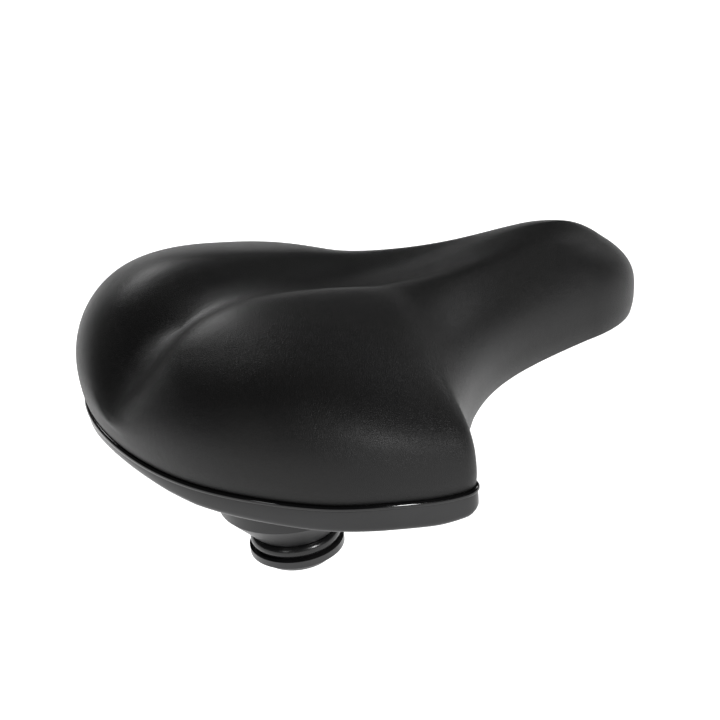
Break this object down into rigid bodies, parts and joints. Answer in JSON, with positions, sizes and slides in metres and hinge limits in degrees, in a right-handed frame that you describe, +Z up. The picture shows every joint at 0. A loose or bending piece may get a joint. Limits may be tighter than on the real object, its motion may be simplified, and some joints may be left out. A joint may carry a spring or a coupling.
{
  "type": "bicycle saddle",
  "caption": "Wide padded bicycle saddle with a channelled top, rubber springs under the rear and round rails for a seatpost clamp.",
  "frame": {"origin": "midway between the two rails' centrelines, at the middle of their straight length", "axes": "+X towards the nose along the rails, +Y to the rider's left, +Z up; the seatpost leaves along -Z"},
  "size_m": [0.2654, 0.2198, 0.1242],
  "materials": {
    "cover_vinyl": "fine grained matte",
    "foam": "matte",
    "gel": "satin",
    "shell_plastic": "matte",
    "trim_plastic": "satin",
    "piping_gloss": "gloss",
    "spring_rubber": "satin",
    "rail_steel": "satin",
    "zinc_steel": "zinc plated"
  },
  "bodies": {
    "rails": {"rail_wire": "rail_steel", "spring_bridge": "rail_steel", "elastomer_left": "spring_rubber", "elastomer_right": "spring_rubber", "spring_cap_left": "spring_rubber", "spring_cap_right": "spring_rubber"},
    "seat": {"cover": "cover_vinyl", "foam_pad": "foam", "base_shell": "shell_plastic", "gel_pad_left": "gel", "gel_pad_right": "gel", "rear_trim": "trim_plastic", "edge_piping": "piping_gloss", "trim_screws": "zinc_steel", "cover_staples": "zinc_steel", "nose_keeper": "rail_steel", "keeper_screws": "zinc_steel", "spring_washer_left": "zinc_steel", "spring_bolt_left": "zinc_steel", "spring_insert_left": "zinc_steel", "spring_washer_right": "zinc_steel", "spring_bolt_right": "zinc_steel", "spring_insert_right": "zinc_steel"}
  },
  "joints": [
    {"name": "suspension", "type": "hinge", "parent": "rails", "child": "seat", "pos_m": [0.095, 0, 0.0375], "axis": [0, -1, 0], "range_deg": [0, 1.5], "stiffness_Nm_per_rad": 3600, "springref_deg": -0.17, "deforming": ["elastomer_left", "elastomer_right"]}
  ]
}
